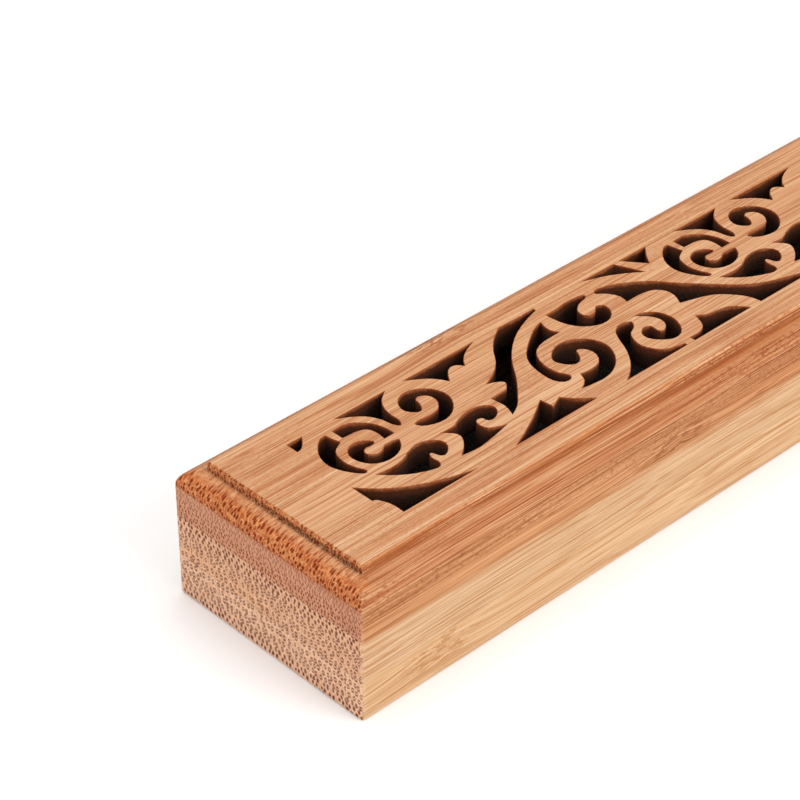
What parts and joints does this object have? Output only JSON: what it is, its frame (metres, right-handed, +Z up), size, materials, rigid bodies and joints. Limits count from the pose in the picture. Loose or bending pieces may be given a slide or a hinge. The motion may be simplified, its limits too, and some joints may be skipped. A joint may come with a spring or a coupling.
{
  "type": "incense stick burner box",
  "caption": "Long rectangular laminated bamboo box for burning an incense stick, with a lift-off lid of scroll fretwork, a stick trough and a brass stick clip.",
  "frame": {"origin": "centre of the underside, on the surface that the box stands on", "axes": "+X along the box, away from the end with the stick clip, +Y across it, +Z up towards the fretwork"},
  "size_m": [0.234, 0.045, 0.0272],
  "materials": {
    "base_bamboo": "oiled laminated bamboo, pale, fine straight grain, end grain with dark fibre dots",
    "lid_bamboo": "oiled laminated bamboo, warm brown",
    "fret_bamboo": "oiled laminated bamboo, orange tan, with scorched cut walls",
    "magnet_nickel": "nickel plated",
    "clip_brass": "formed sheet, smoke dulled",
    "screw_brass": "turned, slotted",
    "heat_felt": "heat-proof fibre felt, dark grey"
  },
  "bodies": {
    "base": {"base_lower_ply": "base_bamboo", "base_upper_ply": "base_bamboo", "heat_pad": "heat_felt", "stick_clip": "clip_brass", "clip_screw_1": "screw_brass", "clip_screw_2": "screw_brass", "base_magnet_1": "magnet_nickel", "base_magnet_2": "magnet_nickel", "base_magnet_3": "magnet_nickel", "base_magnet_4": "magnet_nickel"},
    "lid": {"lid_lower_ply": "lid_bamboo", "lid_fret_ply": "fret_bamboo", "lid_magnet_1": "magnet_nickel", "lid_magnet_2": "magnet_nickel", "lid_magnet_3": "magnet_nickel", "lid_magnet_4": "magnet_nickel"}
  },
  "joints": [
    {"name": "lid_lift", "type": "slide", "parent": "base", "child": "lid", "axis": [0, 0, 1], "range_m": [0, 0.04]}
  ]
}
